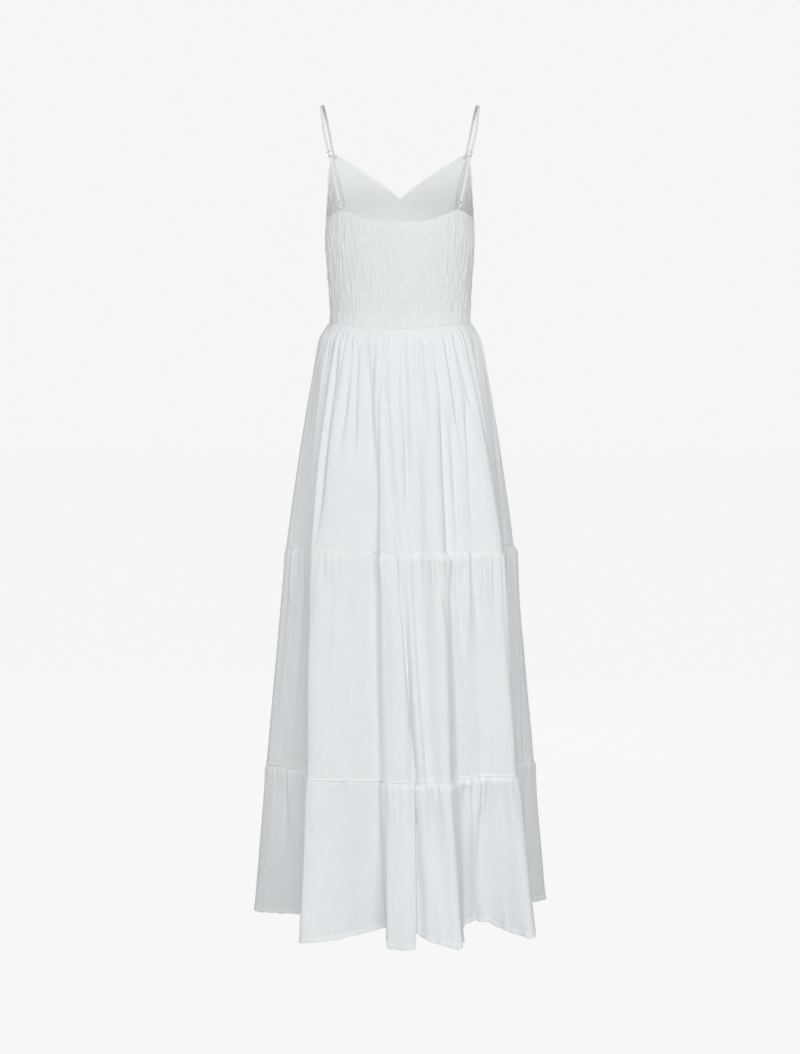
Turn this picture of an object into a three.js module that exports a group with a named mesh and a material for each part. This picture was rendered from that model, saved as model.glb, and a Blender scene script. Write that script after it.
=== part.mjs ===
// A white maxi dress: thin adjustable straps, a plain V-neck front, a shirred back that wraps
// round both sides, and a skirt of three gathered tiers. It keeps the hollow form it has when worn.
// Millimetres, +Z up, front towards -Y, the wearer's left towards +X.
// The origin lies midway between the tops of the two straps, where the shoulders carry the dress.
import * as THREE from "three";

// Driving sizes
const SEAM_GAP = 0.3; // clearance between neighbouring pieces
const SKIRT_WALL = 1.6;
const FRONT_WALL = 2.0;
const BACK_WALL = 1.6; // shirred cloth between its ridges
const WAIST_SIDE_Z = -374;
const WAIST_BACK_DIP = 12; // the waist seam sags this much at the centre back
const TIER_SEAM_1_Z = -762;
const TIER_SEAM_2_Z = -1147;
const HEM_Z = -1416;
const SIDE_FRONT_TURN = 131.5; // degrees from the centre back to the seam of front and shirred panel
const STRAP_WIDTH = 5;
const STRAP_THICK = 1.6;

// Shirring: fine upright gathers, pinched at each row of elastic
const SHIRR_GATHERS = 60;
const SHIRR_ROWS = 7;
const SHIRR_RIDGE = 2.0;
const SHIRR_PINCH = 0.35; // share of the ridge left at an elastic row
const SHIRR_UNEVEN = 0.35;
const INSIDE_EVERY = 4; // the plain inside has one column for this many outside
const FRONT_COLUMNS = 16;

// Skirt grid: columns for the whole round, a gather every few columns, and row places down each tier
const SKIRT_COLUMNS = 120;
const GATHER_EVERY = 3;
const GATHER_HEIGHT = { upper: 3.4, middle: 3.0, lower: 3.0 };
const GATHER_START = 0.035; // share of a tier's height at which its gathers are full
const GATHER_FADE = 0.3; // share of a tier's height over which they die away
const TIER_ROWS = {
  upper: [0, 0.035, 0.1, 0.22, 0.42, 0.7, 1],
  middle: [0, 0.04, 0.12, 0.28, 0.5, 0.75, 1],
  lower: [0, 0.05, 0.15, 0.35, 0.65, 1],
};
const RING_SAMPLES = 240; // fine points per half ring, used to space the columns evenly along the cloth
const SHARPEST_BEND = -0.6; // limits the wall's mitre at the tightest folds
const FLARE_POWER = 0.68; // how quickly the gathered skirt stands out below the waist
const FOLD_POWER = 1.2; // how slowly the large folds begin below the waist

// The figure: half width, and depth behind and in front of the side line, at each height
const FIGURE = [
  { z: -70, half: 163, back: 70, front: 82 },
  { z: -138, half: 137, back: 84, front: 100 },
  { z: -192, half: 129, back: 96, front: 116 },
  { z: -238, half: 130, back: 97, front: 114 },
  { z: -300, half: 125.5, back: 95, front: 104 },
  { z: -380, half: 121, back: 93, front: 96 },
];
const CUP = { x: 74, z: -196, wide: 46, tall: 52, out: 12 }; // the shaping that the front's cut gives it

// Upper edge of the shirred panel from the centre back round to the front corner
const BACK_TOP_EDGE = [
  { turn: 0, z: -203 },
  { turn: 25, z: -199 },
  { turn: 43, z: -185 },
  { turn: 51, z: -181 },
  { turn: 60, z: -184 },
  { turn: 75, z: -191 },
  { turn: 88, z: -190 },
  { turn: 100, z: -168 },
  { turn: 113, z: -132 },
  { turn: SIDE_FRONT_TURN, z: -76 },
];
const FRONT_CORNER_Z = -76;
const V_POINT_Z = -152;

// The skirt's plain form, without folds
const SKIRT_FORM = {
  seam1: { half: 190, depth: 172 },
  seam2: { half: 207, depth: 197 },
  hem: { half: 225, depth: 215 },
};

// The largest folds. Ridges stand out and troughs lie in, in millimetres from the plain form.
// waist and hemTurn are the fold's places in degrees from the centre back, towards the wearer's left.
const FOLDS = [
  { waist: -88, hemTurn: -112, seam1: 10, seam2: 38, hem: 55 },
  { waist: -74, hemTurn: -82, seam1: -11, seam2: -36, hem: -53 },
  { waist: -56, hemTurn: -54.5, seam1: 18, seam2: 33, hem: 54 },
  { waist: -22, hemTurn: -41, seam1: -10, seam2: -33, hem: -70 },
  { waist: -2, hemTurn: -20, seam1: 14, seam2: 46, hem: 66 },
  { waist: 6, hemTurn: -10.5, seam1: -20, seam2: -55, hem: -63 },
  { waist: 10, hemTurn: -1, seam1: 10, seam2: 38, hem: 47 },
  { waist: 20, hemTurn: 9, seam1: -17, seam2: -44, hem: -70 },
  { waist: 56, hemTurn: 33, seam1: 12, seam2: 30, hem: 60 },
  { waist: 65, hemTurn: 67, seam1: -15, seam2: -35, hem: -59 },
  { waist: 84, hemTurn: 101, seam1: 6, seam2: 30, hem: 38 },
  { waist: 105, hemTurn: 123, seam1: -12, seam2: -36, hem: -55 },
  { waist: 127, hemTurn: 140, seam1: 10, seam2: 32, hem: 50 },
  { waist: 146, hemTurn: 156, seam1: -14, seam2: -42, hem: -60 },
  { waist: 163, hemTurn: 171, seam1: 12, seam2: 36, hem: 48 },
  { waist: 179, hemTurn: 185, seam1: -16, seam2: -45, hem: -62 },
  { waist: 196, hemTurn: 198, seam1: 12, seam2: 38, hem: 54 },
  { waist: 213, hemTurn: 211, seam1: -12, seam2: -38, hem: -58 },
  { waist: 231, hemTurn: 223, seam1: 10, seam2: 30, hem: 46 },
  { waist: 252, hemTurn: 236, seam1: -12, seam2: -36, hem: -52 },
];
const SIDE_SEAM = { waist: 90, hemTurn: 98 }; // left side; the right one mirrors it

// Strap route over the wearer's left shoulder. It starts at the front corner and ends at the slider.
const STRAP_ROUTE = [
  { x: 123, y: -53.5, z: -52 },
  { x: 129, y: -44, z: -22 },
  { x: 133, y: -24, z: -3 },
  { x: 134, y: 0, z: 0.8 },
  { x: 133, y: 22, z: -9 },
  { x: 128.5, y: 39, z: -42 },
];
const STRAP_END_CLEAR = 0.5; // the strap meets its neighbours at a slight angle
const STRAP_STEPS = 22;
const SHOULDER_CENTRE = { x: 128, y: 0, z: -70 }; // the strap's flat side faces this place
const SLIDER_AT = { x: 121.4, y: 50.2, z: -86.3 };
const TAB_TURN = 51; // where the tab meets the back's upper edge
const BACK_LEAN = { x: 0.5, y: 0.86, z: 0.05 }; // outward direction of the back where the ring hangs
const HARDWARE_BAR = 1.3;
const HARDWARE_WIDTH = 9;
const SLIDER_HEIGHT = 9.3;
const RING_HEIGHT = 8;
const HARDWARE_CORNER = 2.4;
const BELT_THICK = 0.9; // each layer of the doubled strap
const BELT_INSIDE = 1.25; // half the space between the layers, which clears a bar's corners
const TAB_LENGTH = 5;
const TAB_CLEAR = 0.85; // the tab leans, so its lower corner comes closer than this to the back's edge

// Materials
const WHITE_CLOTH = { color: 0xe9eef0, roughness: 0.85, metalness: 0 };
const STRAP_CLOTH = { color: 0xe6eaec, roughness: 0.8, metalness: 0 };
const PALE_METAL = { color: 0xc9ccce, roughness: 0.3, metalness: 0.9 };

// Small helpers
const radians = (degrees) => (degrees * Math.PI) / 180;
const mix = (a, b, share) => a + (b - a) * share;
const ease = (share) => (1 - Math.cos(Math.PI * share)) / 2;
const clamp01 = (value) => Math.min(1, Math.max(0, value));
const range = (count) => Array.from({ length: count }, (_, i) => i);
// A fixed uneven value from -1 to 1 for a whole number
const uneven = (n) => Math.sin(n * 12.9898 + 4.1) * Math.cos(n * 4.731);

// A smooth value from a table's column at a place along its key, both ends held
function along(table, key, column, at) {
  const rising = table[1][key] > table[0][key];
  const rows = rising ? table : [...table].reverse();
  if (at <= rows[0][key]) return rows[0][column];
  const last = rows.length - 1;
  if (at >= rows[last][key]) return rows[last][column];
  const i = rows.findIndex((row, n) => n < last && at <= rows[n + 1][key]);
  const slope = (n) => {
    const before = rows[Math.max(0, n - 1)];
    const after = rows[Math.min(last, n + 1)];
    return (after[column] - before[column]) / (after[key] - before[key]);
  };
  const span = rows[i + 1][key] - rows[i][key];
  const t = (at - rows[i][key]) / span;
  const square = t * t;
  const cube = square * t;
  return (
    (2 * cube - 3 * square + 1) * rows[i][column] +
    (cube - 2 * square + t) * span * slope(i) +
    (3 * square - 2 * cube) * rows[i + 1][column] +
    (cube - square) * span * slope(i + 1)
  );
}

// A point of the figure at a turn from the centre back and a height, moved out by some millimetres
function figurePoint(turn, z, out = 0) {
  const u = radians(turn);
  const half = along(FIGURE, "z", "half", z) + out;
  const depth = along(FIGURE, "z", Math.cos(u) > 0 ? "back" : "front", z) + out;
  const x = half * Math.sin(u);
  const y = depth * Math.cos(u);
  if (Math.cos(u) > 0) return new THREE.Vector3(x, y, z);
  const across = (Math.abs(x) - CUP.x) / CUP.wide;
  const up = (z - CUP.z) / CUP.tall;
  const cup = CUP.out * Math.exp(-across * across - up * up) * ease(clamp01(-2 * Math.cos(u)));
  return new THREE.Vector3(x, y - cup, z);
}

const waistZ = (turn) => WAIST_SIDE_Z - WAIST_BACK_DIP * Math.max(0, Math.cos(radians(turn))) ** 2;

// Closed wall between an outer and an inner grid of points. The inner grid may be coarser.
// Columns run towards growing turn and rows run down, so the outer faces point out.
function wall(outer, inner) {
  const points = [];
  const faces = [];
  const number = (grid) =>
    grid.map((row) =>
      row.map((p) => {
        points.push(p.x, p.y, p.z);
        return points.length / 3 - 1;
      }),
    );
  const a = number(outer);
  const b = number(inner);
  const skin = (grid, flip) => {
    for (const r of range(grid.length - 1)) {
      for (const c of range(grid[0].length - 1)) {
        const [p, q, s, t] = [grid[r][c], grid[r][c + 1], grid[r + 1][c], grid[r + 1][c + 1]];
        faces.push(...(flip ? [p, s, q, q, s, t] : [p, q, s, q, t, s]));
      }
    }
  };
  skin(a, false);
  skin(b, true);
  const borders = (grid) => [
    grid[0],
    grid.map((row) => row[row.length - 1]),
    [...grid[grid.length - 1]].reverse(),
    grid.map((row) => row[0]).reverse(),
  ];
  const innerBorders = borders(b);
  borders(a).forEach((edge, n) => rim(faces, edge, innerBorders[n]));
  return solidFrom(points, faces);
}

// Strip of triangles between two edges that run the same way
function rim(faces, outerEdge, innerEdge) {
  let i = 0;
  let j = 0;
  const lastI = outerEdge.length - 1;
  const lastJ = innerEdge.length - 1;
  while (i < lastI || j < lastJ) {
    const outerTurn = j === lastJ || (i < lastI && (i + 1) / lastI <= (j + 1) / lastJ);
    if (outerTurn) {
      faces.push(outerEdge[i + 1], outerEdge[i], innerEdge[j]);
      i += 1;
    } else {
      faces.push(innerEdge[j], innerEdge[j + 1], outerEdge[i]);
      j += 1;
    }
  }
}

function solidFrom(points, faces) {
  const geometry = new THREE.BufferGeometry();
  geometry.setAttribute("position", new THREE.Float32BufferAttribute(points, 3));
  geometry.setIndex(faces);
  geometry.computeVertexNormals();
  return geometry;
}

function piece(name, geometry, finish) {
  const mesh = new THREE.Mesh(geometry, new THREE.MeshStandardMaterial(finish));
  mesh.name = name;
  return mesh;
}

// Bodice: the shirred panel from one side-front seam round the back to the other
function backTopZ(turn) {
  return along(BACK_TOP_EDGE, "turn", "z", Math.abs(turn));
}

function shirredPanel() {
  const columns = 2 * SHIRR_GATHERS + 1;
  const rows = 2 * SHIRR_ROWS + 1;
  const seamTurn = SIDE_FRONT_TURN - degreesOf(SEAM_GAP / 2, SIDE_FRONT_TURN);
  const turnOf = (share) => mix(-seamTurn, seamTurn, share);
  const at = (turn, down, out) =>
    figurePoint(turn, mix(backTopZ(turn), waistZ(turn) + SEAM_GAP / 2, down), out);
  const ridge = (c, r) => {
    if (c % 2 === 0) return 0;
    const pinch = r % 2 === 1 ? SHIRR_PINCH : 1;
    return SHIRR_RIDGE * pinch * (1 + SHIRR_UNEVEN * uneven(c + 17 * Math.floor(r / 2)));
  };
  const outer = range(rows).map((r) =>
    range(columns).map((c) => at(turnOf(c / (columns - 1)), r / (rows - 1), ridge(c, r))),
  );
  const insideColumns = (columns - 1) / INSIDE_EVERY;
  const inner = range(rows).map((r) =>
    range(insideColumns + 1).map((c) => at(turnOf(c / insideColumns), r / (rows - 1), -BACK_WALL)),
  );
  return piece("bodice_back_shirred", wall(outer, inner), WHITE_CLOTH);
}

// Degrees of turn that a length along the figure's side-front seam takes up
function degreesOf(length, turn) {
  const step = 0.5;
  const chord = figurePoint(turn, V_POINT_Z).distanceTo(figurePoint(turn + step, V_POINT_Z));
  return (length * step) / chord;
}

// Bodice: the plain front, with a straight-sided V neck between the two strap corners
function frontTopZ(turn) {
  const share = Math.sin(radians(turn)) / Math.sin(radians(SIDE_FRONT_TURN));
  return mix(V_POINT_Z, FRONT_CORNER_Z, Math.abs(share));
}

function frontPanel() {
  const rows = 2 * SHIRR_ROWS;
  const seamTurn = SIDE_FRONT_TURN + degreesOf(SEAM_GAP / 2, SIDE_FRONT_TURN);
  const grid = (out) =>
    range(rows + 1).map((r) =>
      range(FRONT_COLUMNS + 1).map((c) => {
        const turn = mix(seamTurn, 360 - seamTurn, c / FRONT_COLUMNS);
        const z = mix(frontTopZ(turn), waistZ(turn) + SEAM_GAP / 2, r / rows);
        return figurePoint(turn, z, out);
      }),
    );
  return piece("bodice_front", wall(grid(0), grid(-FRONT_WALL)), WHITE_CLOTH);
}

// Skirt: how far the folds stand out at a turn, for a height given as a share of the way to the hem
function foldOut(turn, fall, depthOf) {
  const places = FOLDS.map((fold) => mix(fold.waist, fold.hemTurn, fall));
  const count = FOLDS.length;
  let at = turn;
  while (at < places[0]) at += 360;
  while (at >= places[0] + 360) at -= 360;
  const next = places.findIndex((place) => place > at);
  const i = next === -1 ? count - 1 : next - 1;
  const j = (i + 1) % count;
  const end = j === 0 ? places[0] + 360 : places[j];
  const share = ease((at - places[i]) / (end - places[i]));
  return mix(depthOf(FOLDS[i]), depthOf(FOLDS[j]), share);
}

// A point of the skirt's outer surface, before its gathers
function skirtPoint(turn, z) {
  const top = waistZ(turn);
  const fall = (top - z) / (top - HEM_Z);
  const waistHalf = along(FIGURE, "z", "half", top);
  const side = Math.cos(radians(turn)) > 0 ? "back" : "front";
  const waistDepth = along(FIGURE, "z", side, top);
  let half;
  let depth;
  let depthOf;
  if (z >= TIER_SEAM_1_Z) {
    const share = clamp01((top - z) / (top - TIER_SEAM_1_Z));
    const flare = share ** FLARE_POWER;
    half = mix(waistHalf, SKIRT_FORM.seam1.half, flare);
    depth = mix(waistDepth, SKIRT_FORM.seam1.depth, flare);
    depthOf = (fold) => fold.seam1 * share ** FOLD_POWER;
  } else if (z >= TIER_SEAM_2_Z) {
    const share = (TIER_SEAM_1_Z - z) / (TIER_SEAM_1_Z - TIER_SEAM_2_Z);
    half = mix(SKIRT_FORM.seam1.half, SKIRT_FORM.seam2.half, share);
    depth = mix(SKIRT_FORM.seam1.depth, SKIRT_FORM.seam2.depth, share);
    depthOf = (fold) => mix(fold.seam1, fold.seam2, share);
  } else {
    const share = (TIER_SEAM_2_Z - z) / (TIER_SEAM_2_Z - HEM_Z);
    half = mix(SKIRT_FORM.seam2.half, SKIRT_FORM.hem.half, share);
    depth = mix(SKIRT_FORM.seam2.depth, SKIRT_FORM.hem.depth, share);
    depthOf = (fold) => mix(fold.seam2, fold.hem, share);
  }
  const out = foldOut(turn, fall, depthOf);
  const u = radians(turn);
  return new THREE.Vector3((half + out) * Math.sin(u), (depth + out) * Math.cos(u), z);
}

// One ring of the skirt: points spaced evenly along the cloth between the side seams
function skirtRing(zAt) {
  const middleZ = zAt(0);
  const fall = (WAIST_SIDE_Z - middleZ) / (WAIST_SIDE_Z - HEM_Z);
  const left = mix(SIDE_SEAM.waist, SIDE_SEAM.hemTurn, clamp01(fall));
  const halves = [
    [-left, left],
    [left, 360 - left],
  ];
  return halves.flatMap(([from, to]) => evenColumns(from, to, zAt));
}

// Plan directions of the two stretches of cloth that meet at a ring's column
function stretches(ring, column) {
  const count = ring.length;
  const before = ring[(column + count - 1) % count];
  const after = ring[(column + 1) % count];
  const flat = (from, to) => new THREE.Vector3(to.x - from.x, to.y - from.y, 0).normalize();
  return [flat(before, ring[column]), flat(ring[column], after)];
}

const outwardOf = (tangent) => new THREE.Vector3(-tangent.y, tangent.x, 0);

// Step out from a column that keeps the wall even on both sides of a bend
function wallStep(ring, column) {
  const [first, second] = stretches(ring, column).map(outwardOf);
  return first.clone().add(second).divideScalar(1 + Math.max(first.dot(second), SHARPEST_BEND));
}

function evenColumns(from, to, zAt) {
  const fine = range(RING_SAMPLES + 1).map((i) => {
    const turn = mix(from, to, i / RING_SAMPLES);
    return skirtPoint(turn, zAt(turn));
  });
  const length = [0];
  for (const i of range(RING_SAMPLES)) length.push(length[i] + fine[i].distanceTo(fine[i + 1]));
  const columns = SKIRT_COLUMNS / 2;
  return range(columns).map((c) => {
    const want = (length[RING_SAMPLES] * c) / columns;
    const i = Math.max(1, length.findIndex((value) => value >= want));
    const share = (want - length[i - 1]) / (length[i] - length[i - 1]);
    return fine[i - 1].clone().lerp(fine[i], share);
  });
}

// Gathers of a tier: ridges that start just under its seam, uneven in height and length
function gatherOut(column, down, height) {
  const ridge = column % GATHER_EVERY === 0;
  const n = Math.floor(column / GATHER_EVERY);
  const start = ease(clamp01(down / GATHER_START));
  const reach = GATHER_FADE * (1 + 0.5 * uneven(n));
  const fade = Math.exp(-down / reach) * (1 - down);
  return height * (ridge ? 1 : -0.5) * (1 + 0.3 * uneven(n + 31)) * start * fade;
}

function tierPieces(tier, topZ, bottomZ) {
  const rings = TIER_ROWS[tier].map((down) => {
    const smooth = skirtRing((turn) => mix(topZ(turn), bottomZ, down));
    return smooth.map((point, c) => {
      const [before, after] = stretches(smooth, c);
      const outward = outwardOf(before.add(after).normalize());
      return point.clone().addScaledVector(outward, gatherOut(c, down, GATHER_HEIGHT[tier]));
    });
  });
  const half = SKIRT_COLUMNS / 2;
  const spans = { back: range(half + 1), front: range(half + 1).map((c) => (c + half) % SKIRT_COLUMNS) };
  return Object.entries(spans).map(([side, columns]) => {
    const grid = (inward) =>
      rings.map((ring) =>
        columns.map((c, place) => {
          const [before, after] = stretches(ring, c);
          const seamShift = (place === 0) - (place === half);
          return ring[c]
            .clone()
            .addScaledVector(wallStep(ring, c), -inward)
            .addScaledVector(before.add(after).normalize(), (seamShift * SEAM_GAP) / 2);
        }),
      );
    return piece(`skirt_${tier}_${side}`, wall(grid(0), grid(SKIRT_WALL)), WHITE_CLOTH);
  });
}

// Straps and their hardware, for the wearer's left (side 1) or right (side -1)
const vectorOf = ({ x, y, z }, side) => new THREE.Vector3(side * x, y, z);

// The line from the back's upper edge to the slider, along which the hardware hangs
function hardwareLine(side) {
  const base = figurePoint(side * TAB_TURN, backTopZ(TAB_TURN));
  const up = vectorOf(SLIDER_AT, side).sub(base);
  const sliderUp = up.length();
  return { base, up: up.normalize(), sliderUp };
}

function strap(name, side) {
  const { base, up, sliderUp } = hardwareLine(side);
  const start = figurePoint(side * SIDE_FRONT_TURN, FRONT_CORNER_Z, -FRONT_WALL / 2);
  start.z += STRAP_END_CLEAR;
  const end = base.addScaledVector(up, sliderUp + SLIDER_HEIGHT / 2 + STRAP_END_CLEAR);
  const middle = STRAP_ROUTE.map((place) => vectorOf(place, side));
  const curve = new THREE.CatmullRomCurve3([start, ...middle, end]);
  const centre = vectorOf(SHOULDER_CENTRE, side);
  const corners = [
    [-0.5, 0.2],
    [-0.3, 0.5],
    [0.3, 0.5],
    [0.5, 0.2],
    [0.5, -0.2],
    [0.3, -0.5],
    [-0.3, -0.5],
    [-0.5, -0.2],
  ];
  const rings = range(STRAP_STEPS + 1).map((i) => {
    const point = curve.getPointAt(i / STRAP_STEPS);
    const forward = curve.getTangentAt(i / STRAP_STEPS);
    const out = point.clone().sub(centre);
    out.addScaledVector(forward, -out.dot(forward)).normalize();
    const across = forward.clone().cross(out);
    return corners.map(([w, t]) =>
      point
        .clone()
        .addScaledVector(across, w * STRAP_WIDTH)
        .addScaledVector(out, t * STRAP_THICK),
    );
  });
  return piece(name, tube(rings), STRAP_CLOTH);
}

// Closed tube through rings of points, with flat ends
function tube(rings) {
  const count = rings[0].length;
  const points = rings.flat().flatMap((p) => [p.x, p.y, p.z]);
  const faces = [];
  const last = (rings.length - 1) * count;
  for (const r of range(rings.length - 1)) {
    for (const c of range(count)) {
      const d = (c + 1) % count;
      const [p, q] = [r * count + c, r * count + d];
      faces.push(p, q, p + count, q, q + count, p + count);
    }
  }
  for (const c of range(count - 2)) {
    faces.push(0, c + 2, c + 1, last, last + c + 1, last + c + 2);
  }
  return solidFrom(points, faces);
}

function roundedRectangle(path, width, height, corner) {
  const [w, h] = [width / 2, height / 2];
  path.moveTo(-w + corner, -h);
  path.lineTo(w - corner, -h);
  path.absarc(w - corner, -h + corner, corner, -Math.PI / 2, 0);
  path.lineTo(w, h - corner);
  path.absarc(w - corner, h - corner, corner, 0, Math.PI / 2);
  path.lineTo(-w + corner, h);
  path.absarc(-w + corner, h - corner, corner, Math.PI / 2, Math.PI);
  path.lineTo(-w, -h + corner);
  path.absarc(-w + corner, -h + corner, corner, Math.PI, 1.5 * Math.PI);
  return path;
}

// Flat frame with one slot for each gap between its bars
function hardwarePlate(height, slots) {
  const shape = roundedRectangle(new THREE.Shape(), HARDWARE_WIDTH, height, HARDWARE_CORNER);
  const slotHeight = (height - (slots + 1) * HARDWARE_BAR) / slots;
  for (const n of range(slots)) {
    const middle = -height / 2 + HARDWARE_BAR + slotHeight / 2 + n * (slotHeight + HARDWARE_BAR);
    const slotWidth = HARDWARE_WIDTH - 2 * HARDWARE_BAR;
    const hole = roundedRectangle(new THREE.Path(), slotWidth, slotHeight, 0.5);
    shape.holes.push(movedPath(hole, middle));
  }
  const settings = { depth: HARDWARE_BAR, bevelEnabled: false, curveSegments: 2 };
  return new THREE.ExtrudeGeometry(shape, settings).translate(0, 0, -HARDWARE_BAR / 2);
}

function movedPath(path, up) {
  return new THREE.Path(path.getPoints(2).map((p) => new THREE.Vector2(p.x, p.y + up)));
}

// Flat belt that passes round two bars a length apart, seen edge on and drawn out to the strap's width
function belt(length) {
  const stadium = (path, radius) => {
    path.absarc(0, length / 2, radius, 0, Math.PI);
    path.absarc(0, -length / 2, radius, Math.PI, 2 * Math.PI);
    return path;
  };
  const shape = stadium(new THREE.Shape(), BELT_INSIDE + BELT_THICK);
  shape.holes.push(stadium(new THREE.Path(), BELT_INSIDE));
  const settings = { depth: STRAP_WIDTH, bevelEnabled: false, curveSegments: 6 };
  return new THREE.ExtrudeGeometry(shape, settings)
    .translate(0, 0, -STRAP_WIDTH / 2)
    .rotateY(Math.PI / 2);
}

// Slider, doubled strap, ring and tab, in a frame that starts at the back's upper edge.
// Its Y runs up the strap and its Z points off the back.
function strapHardware(label, side) {
  const { base, up, sliderUp } = hardwareLine(side);
  const out = vectorOf(BACK_LEAN, side);
  out.addScaledVector(up, -out.dot(up)).normalize();
  const across = up.clone().cross(out);
  const group = new THREE.Group();
  group.position.copy(base);
  group.setRotationFromMatrix(new THREE.Matrix4().makeBasis(across, up, out));

  const barInset = HARDWARE_BAR / 2;
  const tabLow = TAB_CLEAR + BELT_THICK + BELT_INSIDE;
  const ringUp = tabLow + TAB_LENGTH + RING_HEIGHT / 2 - barInset;
  const loopLow = ringUp + RING_HEIGHT / 2 - barInset;
  const loopHigh = sliderUp - SLIDER_HEIGHT / 2 + barInset;
  const sliderPlate = hardwarePlate(SLIDER_HEIGHT, 2).translate(0, sliderUp, 0);
  const loop = belt(loopHigh - loopLow).translate(0, (loopHigh + loopLow) / 2, 0);
  const ringPlate = hardwarePlate(RING_HEIGHT, 1).translate(0, ringUp, 0);
  const tab = belt(TAB_LENGTH).translate(0, tabLow + TAB_LENGTH / 2, 0);
  group.add(
    piece(`slider_${label}`, sliderPlate, PALE_METAL),
    piece(`strap_loop_${label}`, loop, STRAP_CLOTH),
    piece(`ring_${label}`, ringPlate, PALE_METAL),
    piece(`ring_tab_${label}`, tab, STRAP_CLOTH),
  );
  return group;
}

// The whole dress
const dress = new THREE.Group();
dress.name = "maxi_dress";
dress.add(frontPanel(), shirredPanel());
dress.add(...tierPieces("upper", (turn) => waistZ(turn) - SEAM_GAP / 2, TIER_SEAM_1_Z + SEAM_GAP / 2));
dress.add(...tierPieces("middle", () => TIER_SEAM_1_Z - SEAM_GAP / 2, TIER_SEAM_2_Z + SEAM_GAP / 2));
dress.add(...tierPieces("lower", () => TIER_SEAM_2_Z - SEAM_GAP / 2, HEM_Z));
for (const [label, side] of [
  ["left", 1],
  ["right", -1],
]) {
  dress.add(strap(`strap_${label}`, side), strapHardware(label, side));
}

export default dress;
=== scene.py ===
import math

import bpy
import numpy as np
from mathutils import Matrix


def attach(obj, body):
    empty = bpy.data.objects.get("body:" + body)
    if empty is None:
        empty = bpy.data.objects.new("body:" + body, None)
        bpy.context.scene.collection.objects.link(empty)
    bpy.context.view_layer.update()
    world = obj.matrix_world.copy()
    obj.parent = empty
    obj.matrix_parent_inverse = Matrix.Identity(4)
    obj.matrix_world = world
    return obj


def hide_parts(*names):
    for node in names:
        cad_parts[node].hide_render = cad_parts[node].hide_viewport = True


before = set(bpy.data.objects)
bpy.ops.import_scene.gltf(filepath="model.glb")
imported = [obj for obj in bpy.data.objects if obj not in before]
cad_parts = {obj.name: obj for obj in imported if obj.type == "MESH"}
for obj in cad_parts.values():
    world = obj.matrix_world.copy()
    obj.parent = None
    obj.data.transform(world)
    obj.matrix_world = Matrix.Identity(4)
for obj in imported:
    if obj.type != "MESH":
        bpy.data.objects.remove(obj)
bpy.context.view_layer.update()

MM = 0.001


def table(columns, *rows):
    """Rows of values under named columns."""
    return [dict(zip(columns.split(), row)) for row in rows]


# Sizes of the dress
WAIST_SIDE_Z = -374.0
WAIST_BACK_DIP = 12.0
TIER_SEAM_1_Z = -762.0
TIER_SEAM_2_Z = -1147.0
HEM_Z = -1416.0
SIDE_FRONT_TURN = 131.5  # where the front meets the shirred panel
SIDE_FRONT_GAP = 0.08  # degrees that each of the two stays back from there
FRONT_CORNER_Z = -76.0
V_POINT_Z = -152.0
SEAM_GAP = 0.3
CLOTH_THICK = 0.8
SHIRRED_THICK = 0.9
FRONT_THICK = 1.3

# The figure: half width, and depth behind and in front of the side line, at each height
FIGURE = table(
    "z half back front",
    (-380, 121, 93, 96),
    (-300, 125.5, 95, 104),
    (-238, 130, 97, 114),
    (-192, 129, 96, 116),
    (-138, 137, 84, 100),
    (-70, 163, 70, 82),
)
CUP = {"x": 74, "z": -196, "wide": 46, "tall": 52, "out": 12}

# Upper edge of the shirred panel from the centre back round to the front corner
BACK_TOP_EDGE = table(
    "turn z",
    (0, -203),
    (25, -199),
    (43, -185),
    (51, -181),
    (60, -184),
    (75, -191),
    (88, -190),
    (100, -168),
    (113, -132),
    (SIDE_FRONT_TURN, FRONT_CORNER_Z),
)

# The skirt's plain form at the two tier seams and the hem
SKIRT_FORM = table("half depth", (190, 172), (207, 197), (225, 215))
FLARE_POWER = 0.62

# The folds that stand out from that form or lie in. waist and hem_turn place a fold, and sway moves it
# at the lower seam; bend is the share of the way to the next fold that is rounded off.
FOLD_POWER = 1.2
SWAY_FALL = 0.73  # share of the way from waist to hem where the lower seam lies
FOLDS = table(
    "waist hem_turn sway seam1 seam2 hem bend",
    (-88, -112, 0, 10, 38, 55, 0.3),
    (-74, -82, 0, -11, -36, -53, 0.45),
    (-56, -54.5, 0, 18, 33, 54, 0.28),
    (-36, -44, 0, -3, -6, -22, 0.45),
    (-28, -31, 0, -6, -7, -9, 0.4),
    (-19.5, -20.5, 0, 7, 20, 54, 0.3),
    (-2, -16.5, 0, -10, 6, 46, 0.5),
    (4, -12.5, -1.5, 4, 16, 38, 0.45),
    (10.2, -6.8, -4.8, -3, 6, 17, 0.15),
    (11.5, -5.6, -4.9, 3, 12, 30, 0.45),
    (12.5, -1, -4.5, 5, 14, 35, 0.5),
    (13.3, 4.6, -2, 3, 11, 31, 0.4),
    (14.2, 6.2, 4.6, -8, -3, -13, 0.45),
    (56, 35.7, 0, 12, 31, 59, 0.18),
    (62, 50.5, 0, -18, -30, -33, 0.75),
    (84, 95, 0, 8, 28, 34, 0.14),
    (105, 123, 0, -12, -36, -55, 0.45),
    (127, 140, 0, 10, 32, 50, 0.3),
    (146, 156, 0, -14, -42, -60, 0.4),
    (163, 171, 0, 12, 36, 48, 0.3),
    (179, 185, 0, -16, -45, -62, 0.4),
    (196, 198, 0, 12, 38, 54, 0.3),
    (213, 211, 0, -12, -38, -58, 0.45),
    (231, 223, 0, 10, 30, 46, 0.3),
    (252, 236, 0, -12, -36, -52, 0.4),
)
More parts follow.
